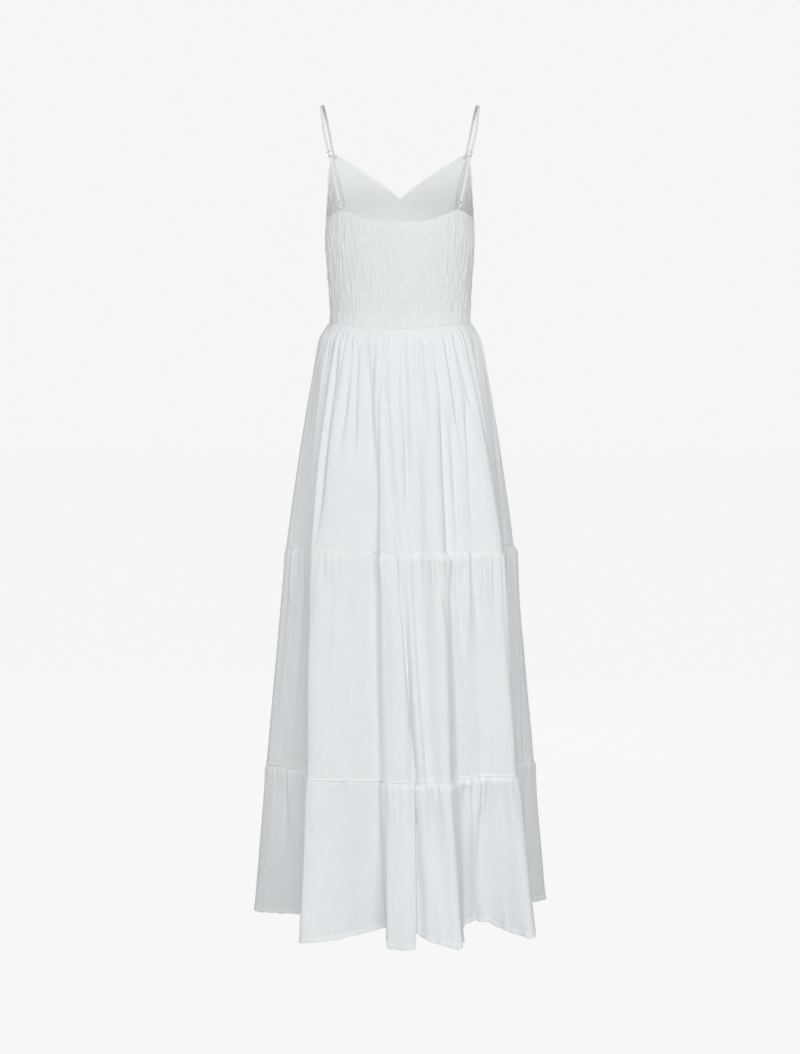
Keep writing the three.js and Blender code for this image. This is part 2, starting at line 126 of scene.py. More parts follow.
# How far the hem is lifted, at turns round it
HEM_LIFT = [
    (-84, 21), (-72, 20), (-63, 4), (-57, -3), (-53, -7), (-50, 3), (-47, 15), (-42, 18), (-38, 25),
    (-30, 22), (-24, 4), (-20.5, -4), (-17, 0), (-12.2, 6), (-8.4, 14), (-7, 20), (-6.3, 18), (-5.6, -5),
    (4.4, -5), (6.5, 20), (14, 15), (24, 6), (36, 0), (42, 0), (50, 18), (60, 21), (75, 13), (92, 4),
    (110, 0), (180, 4), (250, 8),
]
# How deep the small crinkles above the hem are, at turns round it
HEM_CRINKLE = [
    (-58, 4.0), (-46, 3.4), (-30, 2.0), (-18, 3.4), (4, 3.0), (12, 1.6), (45, 1.0), (95, 1.0), (180, 2.6),
]
SIDE_SEAM = {"waist": 90.0, "hem": 98.0}  # turn of the skirt's side seams
HALF_COLUMNS = 380  # columns of cloth from one side seam to the other
RING_SAMPLES = 1400
ROW_STEP = {"first": 0.9, "growth": 1.17, "most": 7.2}
EDGE_ROWS = (12, 10.5, 9, 8, 6.5, 5, 3.5, 2, 1, 0)  # the last rows' heights above a tier's lower edge

# Gathers under each seam, long to short: how many round the skirt, how high, how far down they reach
GATHERS = {
    "upper": table(
        "count height reach seed shape",
        (58, 1.4, 420, 14, "soft"),
        (54, 5.5, 110, 11, "round"),
        (88, 4, 52, 12, "round"),
        (134, 2.2, 24, 13, "round"),
    ),
    "middle": table(
        "count height reach seed shape",
        (66, 1.8, 420, 24, "soft"),
        (46, 4, 120, 21, "round"),
        (96, 5.5, 55, 22, "pinched"),
        (160, 2.4, 20, 23, "pinched"),
    ),
    "lower": table(
        "count height reach seed shape",
        (78, 1.7, 320, 34, "soft"),
        (52, 4, 90, 31, "round"),
        (108, 5.5, 46, 32, "pinched"),
        (180, 2.4, 18, 33, "pinched"),
    ),
}
GATHER_HIGH = (0.35, 1.0)  # least and most share of the height that one gather has
GATHER_FAR = (0.45, 1.35)  # least and most share of the reach
GATHER_START = {"upper": 32.0, "middle": 14.0, "lower": 12.0}  # they are full this far below the seam
GATHER_LEAST = 0.05  # share of their height right at the seam
GATHER_SWELL = 0.2
GATHER_FADE = 1.4
GATHER_DRIFT = 0.25  # how far, in gathers, one moves sideways on its way down
UNEVEN = 0.9  # how far, in gathers, they wander from even spacing
# How full the gathers are, at turns round the skirt: the back's left panel hangs almost smooth
GATHER_AMOUNT = {
    "upper": [
        (-90, 1.0), (-60, 0.85), (-15, 0.95), (8, 0.95), (45, 0.85), (70, 0.9), (180, 1.0), (270, 1.0),
    ],
    "middle": [
        (-60, 1.0), (-12, 1.0), (5, 0.6), (16, 0.3), (48, 0.35), (62, 0.4), (110, 0.5), (180, 1.0),
        (300, 0.8),
    ],
    "lower": [
        (-60, 1.0), (-12, 1.0), (6, 0.8), (12, 0.12), (44, 0.15), (62, 0.4), (110, 0.5), (180, 0.9),
        (300, 0.7),
    ],
}
# Soft troughs, the back's before the front's: the turn where one starts and ends, how far below its
# seam it starts and ends, its depth, and the half width of the soft hollow. One that crosses a seam
# has a row in both tiers.
UPPER_TROUGHS = table(
    "turn to_turn start end deep wide",
    (58, 60, 5, 390, 8, 9),
    (50, 46, 5, 420, 7.5, 7),
    (36.5, 38, 12, 240, 6.5, 6),
    (33, 27, 5, 270, 7, 5),
    (25, 12.5, 6, 300, 8, 7),
    (21, 10, 110, 640, 6.8, 15),
    (11.5, 3, 6, 330, 5, 3),
    (-1, -1, 2, 200, 5.5, 3.5),
    (-4.5, -1.5, 4, 560, 8, 7),
    (-15.5, -16, 3, 220, 5.5, 4),
    (-12, -10.5, 130, 560, 6, 5),
    (-26.5, -24.5, 90, 560, 5.5, 6),
    (-25, -27, 4, 120, 4.5, 4),
    (-34, -41, 5, 250, 7, 4),
    (-34, -32, 120, 420, 5, 5),
    (-45, -51, 5, 170, 6.5, 5),
    (-46, -41, 110, 380, 5, 5),
    (-56, -62, 8, 260, 7, 6),
    (-66, -74, 10, 340, 7, 9),
    (112, 118, 10, 330, 5, 8),
    (134, 141, 15, 250, 4, 6),
    (152, 154, 10, 380, 5, 8),
    (171, 169, 15, 210, 3.5, 6),
    (187, 192, 10, 300, 4.5, 7),
    (206, 203, 20, 240, 3.5, 6),
    (222, 226, 10, 360, 5, 8),
    (241, 238, 15, 200, 4, 6),
)
MIDDLE_TROUGHS = table(
    "turn to_turn start end deep wide",
    (17.5, 3.5, -150, 800, 8.5, 15),
    (-1.8, -7, -150, 640, 6.6, 7.5),
    (-11.1, -11.5, -250, 170, 6.1, 5),
    (-25.2, -26, -250, 170, 5.3, 6),
    (37, 36, 15, 260, 3.5, 11),
    (25, 26, 60, 360, 3, 14),
    (-19, -24, 5, 170, 4, 5),
    (-25, -27, 10, 260, 4, 7),
    (-33, -33, 5, 210, 3, 7),
    (-42, -44, 5, 190, 3, 6),
    (-50, -47, 10, 330, 3, 9),
    (70, 74, 10, 300, 4, 10),
    (114, 119, 10, 240, 4, 9),
    (147, 143, 15, 310, 3.5, 10),
    (176, 180, 5, 220, 4, 8),
    (204, 202, 20, 340, 3.5, 11),
    (233, 229, 10, 230, 4, 9),
)
LOWER_TROUGHS = table(
    "turn to_turn start end deep wide",
    (9.8, 9, -150, 600, 8.7, 15),
    (-5.4, -5.4, -300, 150, 6.4, 7.5),
    (27, 25, -6, 80, 4, 5),
    (19, 17, 20, 230, 3.5, 12),
    (35, 34, 60, 260, 2.5, 12),
    (-15, -16, 30, 150, 5, 8),
    (-33, -35, 4, 80, 4, 7),
    (-42, -41, 30, 270, 5, 11),
    (-51, -48, 5, 120, 3.5, 8),
    (-46.5, -47, 110, 340, 4.5, 4),
    (-50, -51.5, 180, 360, 4, 3.5),
    (-9, -10, 140, 360, 3.5, 5),
    (78, 74, 10, 180, 4, 10),
    (128, 131, 10, 200, 4, 10),
    (164, 160, 5, 130, 4, 9),
    (190, 193, 20, 240, 3.5, 11),
    (219, 216, 5, 150, 4, 9),
)
TROUGHS = {"upper": UPPER_TROUGHS, "middle": MIDDLE_TROUGHS, "lower": LOWER_TROUGHS}
TROUGH_ENDS = {"rise": 0.22, "fade": 0.45}  # shares of its length where a trough deepens and runs out
TROUGH_ROUND = 1.6
# Short puckers drawn up by the stitching under the two lower seams: the turn where one starts and
# ends, how far down it reaches, its height, and its half width
MIDDLE_PUCKERS = table(
    "turn to_turn end high wide",
    (38.6, 38, 55, 3.5, 3),
    (34.8, 34, 70, 3, 3),
    (31, 31.5, 60, 4, 3),
    (17.4, 16.5, 110, 4.5, 4),
    (9.5, 8, 110, 4.5, 4),
    (-6, -7, 90, 3.5, 4),
    (-12.4, -12, 170, 5.5, 4.5),
    (-16, -18.5, 210, 6, 5),
    (-24, -25, 150, 5, 4),
    (-29, -28.5, 120, 4.5, 3.5),
    (-32.6, -33, 110, 5, 3.5),
    (-37, -36, 240, 5.5, 5),
    (-44.6, -45, 110, 5, 3.5),
    (-49, -48, 230, 5.5, 4.5),
    (-53.4, -54, 120, 4.5, 3.5),
    (78, 80, 120, 3.5, 4),
    (121, 120, 160, 5, 4.5),
    (139, 141, 100, 4.5, 4),
    (168, 167, 190, 5.5, 5),
    (190, 192, 110, 4, 4),
    (211, 210, 200, 5, 5),
    (236, 238, 130, 4.5, 4),
    (258, 257, 150, 4, 4),
)
LOWER_PUCKERS = table(
    "turn to_turn end high wide",
    (5, 4, 70, 5, 3),
    (2, 1.5, 100, 4.5, 3),
    (-12, -12.5, 80, 5, 3.5),
    (-14.8, -15.5, 120, 6, 3.5),
    (-18, -18.5, 70, 5, 3),
    (-30, -31, 60, 4, 3),
    (-35.5, -36, 50, 4.5, 3),
    (-41, -40, 150, 5.5, 4),
    (-44, -44.5, 100, 5.5, 3),
    (-48, -47.5, 170, 6, 4),
    (-52, -52, 110, 5, 3.5),
    (74, 75, 80, 3.5, 4),
    (113, 112, 120, 5, 4),
    (133, 134, 90, 4.5, 3.5),
    (153, 152, 150, 5, 4),
    (181, 183, 80, 4.5, 3.5),
    (204, 203, 130, 5.5, 4),
    (228, 229, 90, 4.5, 3.5),
    (249, 247, 120, 4.5, 4),
)
PUCKERS = {"middle": MIDDLE_PUCKERS, "lower": LOWER_PUCKERS}
PUCKER_FADE = 0.8
PUCKER_ROUND = 1.5
PUCKER_START = 7.0

# Seams and hem
TIER_TOP_Z = {"middle": TIER_SEAM_1_Z - SEAM_GAP / 2, "lower": TIER_SEAM_2_Z - SEAM_GAP / 2}
TIER_LOW_Z = {"upper": TIER_SEAM_1_Z + SEAM_GAP / 2, "middle": TIER_SEAM_2_Z + SEAM_GAP / 2, "lower": HEM_Z}
MEAN_WAIST_TURN = 60.0
# Flat width and height of half a tier, in metres
TIER_CUT = {"upper": (0.62, 0.40), "middle": (0.92, 0.40), "lower": (1.22, 0.29)}
HEM_DEPTH = 9.0
HEM_ROW = EDGE_ROWS.index(HEM_DEPTH) - len(EDGE_ROWS)
HEM_FOLD = {"step": 0.5, "soft": 1.6, "dent_tall": 0.9}
CRINKLE_TALL = 20.0
SCALLOP = {"high": 1.8, "tall": 30.0}
STITCH = {"pitch": 3.6, "long": 2.5, "half_wide": 0.22, "proud": 0.15}
SEAM_RIDGE = {"upper": -0.15, "middle": 1.0}  # the pressed edge at the bottom of a tier
SEAM_RIDGE_TALL = 1.8
# A tier starts this far behind the edge above it, over so much height, and overlaps it by so much
SEAM_TUCK = {"upper": 1.3, "middle": 0.85, "lower": 1.3}
SEAM_TUCK_TALL = 2.6
SEAM_OVERLAP = 2.0
SEAM_OVERLAP_TALL = 4.0
# How clearly a white line shows along a tier's lower edge, at turns round it: the doubled cloth there, with
# a painted highlight along the pressed edge and the hem
SEAM_DOUBLE_AND_LIT = {
    "upper": [(-30, 0.5), (0, 0.4), (35, 0.7), (180, 0.5)],
    "middle": [
        (-60, 0.3), (-46, 1.0), (-32, 1.0), (-27, 0.1), (8, 0.1), (12, 1.0), (42, 1.0), (50, 0.4),
        (90, 0.4), (180, 0.7), (270, 0.4),
    ],
    "lower": [
        (-50, 0.1), (-44, 0.45), (-31, 0.45), (-24, 0.1), (6, 0.1), (11, 0.45), (22, 0.4), (36, 0.1),
        (180, 0.2),
    ],
}
# Height of that white line, doubled cloth with painted highlight, above each tier's lower edge
SEAM_DOUBLE_AND_LIT_TALL = {"upper": 1.5, "middle": 1.5, "lower": HEM_DEPTH}
SOFT_WAVE = {"high": 1.5, "drift": 2200, "start": 60}  # slow unevenness all over the skirt

# Shirring: fine upright gathers in two sizes; knots is how often one can start or stop on its way down
SHIRRING = table(
    "count height knots seed",
    (122, 2.4, 13, 51),
    (71, 2.2, 8, 61),
)
SHIRR_HIGH = {"mean": 0.45, "spread": 0.42, "least": 0.02, "most": 1.2}
SHIRR_LEAN = 0.9
SHIRR_FULL = {"middle": 0.5, "sides": 0.68, "from_turn": 22, "over": 45}
SHIRR_COLUMNS = 720
SHIRR_LINES = 69
SHIRR_SINK = 2.4  # the shirring's valleys lie this far inside the figure's line
HEADER = {"deep": 5.0, "soft": 6.0, "share": 0.5}  # the flatter upper edge
WAIST_SINK = {"sink": 0.3, "tall": 25}  # the valleys come out to the waist seam
WAIST_FLAT = {"share": 0.35, "tall": 5}  # and the gathers flatten
ELASTIC_SPACING = 16.0
ELASTIC_RADIUS = 0.35
ELASTIC_PULL = 0.12
ELASTIC_FIRST = 0.4  # share of the spacing from the upper edge to the first thread
ELASTIC_STEPS = 240
ELASTIC_SIDES = 6
FRONT_COLUMNS = 121
FRONT_LINES = 61
BACK_TEXTURE = (0.62, 0.2)  # size of the weave's space on a panel, metres
FRONT_TEXTURE = (0.3, 0.3)


# Small helpers
def mix(a, b, share):
    return a + (b - a) * share


def clamp01(value):
    return np.clip(value, 0.0, 1.0)


def ease(share):
    """From 0 to 1 with soft ends, level outside them."""
    return (1 - np.cos(np.pi * clamp01(share))) / 2


def bell(distance, reach, power=2):
    return np.exp(-((distance / reach) ** power))


def unit(vectors):
    length = np.linalg.norm(vectors, axis=-1, keepdims=True)
    return vectors / np.maximum(length, 1e-9)


def run_of(points):
    """Distance along a line of points, from its first."""
    steps = np.linalg.norm(np.diff(points, axis=0), axis=1)
    return np.concatenate([[0], np.cumsum(steps)])


def resampled(values, run, want):
    """What a line's points carry, at wanted distances along it."""
    return np.stack([np.interp(want, run, value) for value in values.T], -1)


def columns(rows, names):
    return [np.array([row[name] for row in rows], float) for name in names.split()]


def along(rows, names, at):
    """A smooth value from the second of two columns, at places in the first, with both ends held."""
    keys, values = columns(rows, names)
    last = len(keys) - 1
    before = np.maximum(np.arange(last + 1) - 1, 0)
    after = np.minimum(np.arange(last + 1) + 1, last)
    slopes = (values[after] - values[before]) / (keys[after] - keys[before])
    at = np.clip(at, keys[0], keys[-1])
    i = np.clip(np.searchsorted(keys, at) - 1, 0, last - 1)
    span = keys[i + 1] - keys[i]
    t = (at - keys[i]) / span
    return (
        (2 * t**3 - 3 * t**2 + 1) * values[i]
        + (t**3 - 2 * t**2 + t) * span * slopes[i]
        + (3 * t**2 - 2 * t**3) * values[i + 1]
        + (t**3 - t**2) * span * slopes[i + 1]
    )


def amount_of(pairs, turn):
    """A value given at turns round the dress, straight between them."""
    places, amounts = np.array(pairs, float).T
    return np.interp(turn, places, amounts, period=360)


def wander(place, seed, waves=(2, 3, 5, 8, 13)):
    """A smooth uneven value, about -1 to 1, that closes up after one round of place from 0 to 1."""
    draw = np.random.default_rng(seed)
    total = np.zeros_like(place)
    for wave in waves:
        total = total + np.sin(2 * np.pi * (wave * place + draw.random())) * draw.uniform(0.5, 1.0)
    return total / len(waves) * 1.6


# The figure and the edges of the bodice
def figure_depth(turn, z):
    behind = np.cos(np.radians(turn)) > 0
    return np.where(behind, along(FIGURE, "z back", z), along(FIGURE, "z front", z))


def figure_point(turn, z, out=0.0):
    turn, z, out = np.broadcast_arrays(*(np.asarray(value, float) for value in (turn, z, out)))
    u = np.radians(turn)
    x = (along(FIGURE, "z half", z) + out) * np.sin(u)
    y = (figure_depth(turn, z) + out) * np.cos(u)
    across = (np.abs(x) - CUP["x"]) / CUP["wide"]
    up = (z - CUP["z"]) / CUP["tall"]
    cup = CUP["out"] * np.exp(-(across**2) - up**2) * ease(-2 * np.cos(u))
    return np.stack([x, y - cup, z], -1)


def waist_z(turn):
    return WAIST_SIDE_Z - WAIST_BACK_DIP * np.maximum(0, np.cos(np.radians(turn))) ** 2


def back_top_z(turn):
    return along(BACK_TOP_EDGE, "turn z", np.abs(turn))


def front_top_z(turn):
    share = np.abs(np.sin(np.radians(turn))) / math.sin(math.radians(SIDE_FRONT_TURN))
    return mix(V_POINT_Z, FRONT_CORNER_Z, share)


# The skirt's large form
def flat_between(share, start, end):
    """From 0 to 1 with a flat middle, rounded off over the given shares at the start and the end."""
    slope = 1 / (1 - (start + end) / 2)
    middle = slope * (share - start / 2)
    rising = slope * share**2 / (2 * start)
    arriving = 1 - slope * (1 - share) ** 2 / (2 * end)
    return np.where(share < start, rising, np.where(share > 1 - end, arriving, middle))


def fold_out(turn, fall, depths):
    """How far the folds stand out, for points with a turn, a share of the way to the hem, and the
    depth of every fold there."""
    waist, hem_turn, sway, bend = columns(FOLDS, "waist hem_turn sway bend")
    swayed = np.interp(fall, (0, SWAY_FALL, 1), (0, 1, 0))
    places = waist + (hem_turn - waist) * fall[:, None] + sway * swayed[:, None]
    at = np.mod(turn - places[:, 0], 360)
    rel = places - places[:, :1]
    i = (rel <= at[:, None]).sum(1) - 1
    j = (i + 1) % len(FOLDS)
    rows = np.arange(len(turn))
    end = np.where(j == 0, 360.0, rel[rows, j])
    share = (at - rel[rows, i]) / (end - rel[rows, i])
    return mix(depths[rows, i], depths[rows, j], flat_between(share, bend[i], bend[j]))


def skirt_point(turn, z):
    top = waist_z(turn)
    z = np.broadcast_to(z, turn.shape)
    to_1 = clamp01((top - z) / (top - TIER_SEAM_1_Z))
    to_2 = clamp01((TIER_SEAM_1_Z - z) / (TIER_SEAM_1_Z - TIER_SEAM_2_Z))
    to_3 = clamp01((TIER_SEAM_2_Z - z) / (TIER_SEAM_2_Z - HEM_Z))

    def formed(waist, name):
        at_1, at_2, at_hem = columns(SKIRT_FORM, name)[0]
        return mix(waist, at_1, to_1**FLARE_POWER) + (at_2 - at_1) * to_2 + (at_hem - at_2) * to_3

    seam1, seam2, hem = columns(FOLDS, "seam1 seam2 hem")
    depths = np.outer(to_1**FOLD_POWER, seam1) + np.outer(to_2, seam2 - seam1) + np.outer(to_3, hem - seam2)
    out = fold_out(turn, (top - z) / (top - HEM_Z), depths)
    x = (formed(along(FIGURE, "z half", top), "half") + out) * np.sin(np.radians(turn))
    y = (formed(figure_depth(turn, top), "depth") + out) * np.cos(np.radians(turn))
    return np.stack([x, y, z], -1)


def tier_z(tier, turn, share):
    """Height at a share of the way down a tier."""
    top = waist_z(turn) - SEAM_GAP / 2 if tier == "upper" else TIER_TOP_Z[tier]
    return mix(top, TIER_LOW_Z[tier], share)


def tier_height(tier):
    """Height that stands for a whole tier; the upper one's takes off half the waist's dip."""
    dip = WAIST_BACK_DIP / 2 if tier == "upper" else 0.0
    return tier_z(tier, MEAN_WAIST_TURN, 0.0) - TIER_LOW_Z[tier] - dip


def skirt_row(tier, side, share):
    """One row of points of half a tier, spaced evenly along the cloth, and the turn of each."""
    fall = clamp01((WAIST_SIDE_Z - tier_z(tier, 0.0, share)) / (WAIST_SIDE_Z - HEM_Z))
    seam_turn = mix(SIDE_SEAM["waist"], SIDE_SEAM["hem"], fall)
    start, end = (-seam_turn, seam_turn) if side == "back" else (seam_turn, 360 - seam_turn)
    turn = np.linspace(start, end, RING_SAMPLES)
    points = skirt_point(turn, tier_z(tier, turn, share))
    run = run_of(points)
    want = np.linspace(0, run[-1], HALF_COLUMNS + 1)
    return resampled(points, run, want), np.interp(want, run, turn)


def row_places(height):
    """Distances down a tier, close together near its seam and its lower edge."""
    places, step = [0.0], ROW_STEP["first"]
    while places[-1] + step < height - EDGE_ROWS[0] - 1:
        places.append(places[-1] + step)
        step = min(step * ROW_STEP["growth"], ROW_STEP["most"])
    return np.array(places + [height - left for left in EDGE_ROWS])


# Gathers and creases
RIDGE_SHAPES = {
    "soft": lambda phase: np.sin(phase) ** 2,
    "round": lambda phase: np.abs(np.sin(phase)) ** 0.85,
    "pinched": lambda phase: (1 - np.abs(np.cos(phase))) ** 0.8,
}


def gather_out(tier, round_share, down):
    """Ridges under a seam, uneven in spacing, height and length, with sharp valleys between."""
    out = np.zeros(down.shape)
    start = mix(GATHER_LEAST, 1, ease(down / GATHER_START[tier]))
    for layer in GATHERS[tier]:
        draw = np.random.default_rng(layer["seed"])
        count = layer["count"]
        high = draw.uniform(*GATHER_HIGH, count)
        far = draw.uniform(*GATHER_FAR, count)
        swell = draw.uniform(-1, 1, count)
        drift = GATHER_DRIFT * wander(round_share, layer["seed"] + 500) * clamp01(down / layer["reach"])
        phase = round_share * count + UNEVEN * wander(round_share, layer["seed"] + 100) + drift
        ridge = RIDGE_SHAPES[layer["shape"]](np.pi * phase)
        n = np.floor(phase).astype(int) % count
        fade = bell(down, layer["reach"] * far[n], GATHER_FADE)
        out = out + layer["height"] * high[n] * (1 + GATHER_SWELL * swell[n]) * ridge * fade * start
    return out


def off_line(row, share, turn, grid):
    """How far points lie to the side of a crease, in its half widths, at a share of its length."""
    off = np.mod(turn - mix(row["turn"], row["to_turn"], clamp01(share)) + 180, 360) - 180
    return np.radians(np.abs(off)) * np.hypot(grid[..., 0], grid[..., 1]) / row["wide"]


def trough_in(tier, turn, down, grid):
    """Depth of the listed troughs at each point of a tier."""
    depth = np.zeros(turn.shape)
    for row in TROUGHS[tier]:
        share = (down - row["start"]) / (row["end"] - row["start"])
        rise = ease(share / TROUGH_ENDS["rise"])
        fade = ease((1 - share) / TROUGH_ENDS["fade"])
        depth = depth + row["deep"] * rise * fade * bell(off_line(row, share, turn, grid), 1, TROUGH_ROUND)
    return depth


def pucker_out(tier, turn, down, grid):
    """Height of the listed puckers at each point of a tier."""
    height = np.zeros(turn.shape)
    for row in PUCKERS.get(tier, []):
        share = clamp01(down / row["end"])
        fade = ease((1 - share) / PUCKER_FADE)
        height = height + row["high"] * fade * bell(off_line(row, share, turn, grid), 1, PUCKER_ROUND)
    return height * ease(down / PUCKER_START)


def hem_out(turn, round_share, left):
    """The turned-up hem: its fold, the dent of its stitches and small crinkles."""
    step, soft = HEM_FOLD["step"], HEM_FOLD["soft"]
    fold = ease((HEM_DEPTH + soft / 2 - left) / soft)
    dent = bell(left - HEM_DEPTH, HEM_FOLD["dent_tall"])
    crinkle = wander(round_share, 71, (47, 61, 83, 107, 131)) * np.exp(-left / CRINKLE_TALL)
    return step * fold - step * dent + amount_of(HEM_CRINKLE, turn) * crinkle


def hem_rise(turn, round_share, left, down_share):
    """How far the hem is lifted, with small scallops along it."""
    scallop = wander(round_share, 72, (23, 41, 67, 89)) * np.exp(-left / SCALLOP["tall"])
    return SCALLOP["high"] * scallop + amount_of(HEM_LIFT, turn) * down_share**2


def normals_of(grid):
    return unit(np.cross(np.gradient(grid, axis=1), np.gradient(grid, axis=0)))


def tier_grid(tier, side):
    """Points of half a tier, and how much each is whitened, for its doubled cloth and as a painted
    highlight.
    """
    height = tier_height(tier)
    places = row_places(height)
    rows, turns = zip(*[skirt_row(tier, side, place / height) for place in places])
    grid, turn = np.stack(rows), np.stack(turns)
    down = np.broadcast_to(places[:, None], turn.shape)
    left = height - down
    round_share = np.linspace(0, 0.5, HALF_COLUMNS + 1)[None, :] + (0 if side == "back" else 0.5)
    level_normal = unit(normals_of(grid) * (1, 1, 0))

    out = gather_out(tier, round_share, down) * amount_of(GATHER_AMOUNT[tier], turn)
    out = out - SEAM_TUCK[tier] * bell(down, SEAM_TUCK_TALL)
    creases = pucker_out(tier, turn, down, grid) - trough_in(tier, turn, down, grid)
    grid = grid + unit(grid * (1, 1, 0)) * creases[..., None]
    if tier == "lower":
        out = out + hem_out(turn, round_share, left)
        grid[..., 2] += hem_rise(turn, round_share, left, down / height)
    else:
        out = out + SEAM_RIDGE[tier] * bell(left, SEAM_RIDGE_TALL)
    grid[..., 2] += SEAM_OVERLAP * bell(down, SEAM_OVERLAP_TALL)
    drifted = round_share + down / SOFT_WAVE["drift"]
    slow = wander(round_share, 41, (9, 14, 22)) * wander(drifted, 42, (4, 7, 11))
    out = out + SOFT_WAVE["high"] * slow * clamp01(down / SOFT_WAVE["start"])
    # whiter along the lower edge: doubled cloth, with a painted highlight of the pressed edge
    double_and_lit = bell(left, SEAM_DOUBLE_AND_LIT_TALL[tier], 4) * amount_of(SEAM_DOUBLE_AND_LIT[tier], turn)
    return grid + level_normal * out[..., None], double_and_lit


# Meshes
def in_scene(name, data):
    """A new object in the scene for a mesh, a light or the camera."""
    thing = bpy.data.objects.new(name, data)
    bpy.context.scene.collection.objects.link(thing)
    return thing


def shell(name, grid, thick, flat):
    """Closed thin cloth along a grid of points, with its flat size as its texture space in metres."""
    rows, cols = grid.shape[:2]
    half = normals_of(grid) * thick / 2
    points = np.concatenate([(grid + half).reshape(-1, 3), (grid - half).reshape(-1, 3)])
    index = np.arange(rows * cols).reshape(rows, cols)
    outer = np.stack([index[:-1, :-1], index[:-1, 1:], index[1:, 1:], index[1:, :-1]], -1).reshape(-1, 4)
    inner = outer[:, ::-1] + rows * cols
    border = np.concatenate([index[0, :-1], index[:-1, -1], index[-1, :0:-1], index[:0:-1, 0]])
    after = np.roll(border, -1)
    rim = np.stack([after, border, border + rows * cols, after + rows * cols], -1)
    across, down = np.linspace(0, flat[0], cols), np.linspace(0, -flat[1], rows)
    places = np.stack(np.meshgrid(across, down), -1).reshape(-1, 2)
    return new_piece(name, points, np.concatenate([outer, inner, rim]), np.concatenate([places, places]))


def new_piece(name, points, faces, places=None):
    mesh = bpy.data.meshes.new(name)
    mesh.from_pydata((points * MM).tolist(), [], faces.tolist())
    mesh.polygons.foreach_set("use_smooth", np.ones(len(mesh.polygons), bool))
    if places is not None:
        loops = np.empty(len(mesh.loops), int)
        mesh.loops.foreach_get("vertex_index", loops)
        layer = mesh.uv_layers.new(name="cloth")
        layer.data.foreach_set("uv", places[loops].astype(np.float32).ravel())
    mesh.update()
    return in_scene(name, mesh)


def mark_double_and_lit(piece, double_and_lit):
    """Keeps with a piece's points how far its cloth lies double there, with painted highlight added in."""
    layer = piece.data.attributes.new("double_and_lit", "FLOAT", "POINT")
    layer.data.foreach_set("value", double_and_lit.ravel().astype(np.float32))


def dress_piece(piece, material, slot, *nodes):
    piece.data.materials.append(material)
    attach(piece, "root")
    if nodes:
        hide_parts(*nodes)


# Shader nodes and groups
def feed(tree, socket, value):
    """Links a socket to a node's output, or sets it to a plain value."""
    if hasattr(value, "is_output"):
        tree.links.new(value, socket)
    else:
        socket.default_value = value


def made(tree, kind, inputs, **settings):
    """The outputs of a new node with its settings made and its inputs fed."""
    node = tree.nodes.new(kind)
    for name, value in settings.items():
        setattr(node, name, value)
    for label, value in inputs.items():
        feed(tree, node.inputs[label], value)
    return node.outputs


def math_node(tree, operation, *values):
    return made(tree, "ShaderNodeMath", dict(enumerate(values)), operation=operation)[0]


def scaled(tree, vector, scale):
    return made(tree, "ShaderNodeMapping", {"Vector": vector, "Scale": scale})["Vector"]


def noise(tree, vector, scale, detail):
    return made(tree, "ShaderNodeTexNoise", {"Vector": vector, "Scale": scale, "Detail": detail})["Fac"]


def ranged(tree, value, from_range, to_range):
    labels = ("Value", "From Min", "From Max", "To Min", "To Max")
    return made(tree, "ShaderNodeMapRange", dict(zip(labels, (value, *from_range, *to_range))))["Result"]


def tinted(tree, mask, first, second):
    """The first colour, and the second where the mask is high."""
    inputs = {"Factor": mask, "A": first, "B": second}
    return made(tree, "ShaderNodeMix", inputs, data_type="RGBA")["Result"]


def bumped(tree, height, strength, distance, **under):
    inputs = {"Height": height, "Strength": strength, "Distance": distance, **under}
    return made(tree, "ShaderNodeBump", inputs)["Normal"]


def placed(tree, group, inputs):
    return made(tree, "ShaderNodeGroup", inputs, node_tree=group)


def node_group(name, inputs, outputs):
    """A new group with named inputs, each a place or a number, and named outputs that are numbers."""
    group = bpy.data.node_groups.new(name, "ShaderNodeTree")
    for label, value in inputs.items():
        kind = "NodeSocketVector" if value is None else "NodeSocketFloat"
        socket = group.interface.new_socket(label, in_out="INPUT", socket_type=kind)
        if value is not None:
            socket.default_value = value
    for label in outputs:
        group.interface.new_socket(label, in_out="OUTPUT", socket_type="NodeSocketFloat")
    return group, group.nodes.new("NodeGroupInput").outputs, group.nodes.new("NodeGroupOutput").inputs


def plain_weave():
    """Over-and-under threads with thicker slubs: a height, and a mask of the thicker threads."""
    inputs = {"Cloth": None, "Threads per metre": 1900.0}
    group, given, result = node_group("Plain weave", inputs, ("Height", "Slubs"))
    split = made(group, "ShaderNodeSeparateXYZ", {0: given["Cloth"]})
    turns = math_node(group, "MULTIPLY", given["Threads per metre"], math.pi)
    waves = [math_node(group, "SINE", math_node(group, "MULTIPLY", split[k], turns)) for k in (0, 1)]
    threads = math_node(group, "MULTIPLY", *waves)
    long_slubs = noise(group, scaled(group, given["Cloth"], (900, 40, 1)), 1.0, 2.0)
    cross_slubs = noise(group, scaled(group, given["Cloth"], (40, 900, 1)), 1.0, 2.0)
    slubs = math_node(group, "MAXIMUM", long_slubs, cross_slubs)
    parts = [math_node(group, "MULTIPLY", part, share) for part, share in ((threads, 0.35), (slubs, 0.8))]
    feed(group, result["Height"], math_node(group, "ADD", *parts))
    feed(group, result["Slubs"], slubs)
    return group


def soft_marks():
    """Faint uneven tone, as handled cloth has: a mask with no edges."""
    group, given, result = node_group("Soft marks", {"Place": None, "Scale": 6.0}, ("Mask",))
    feed(group, result["Mask"], noise(group, given["Place"], given["Scale"], 3.0))
    return group


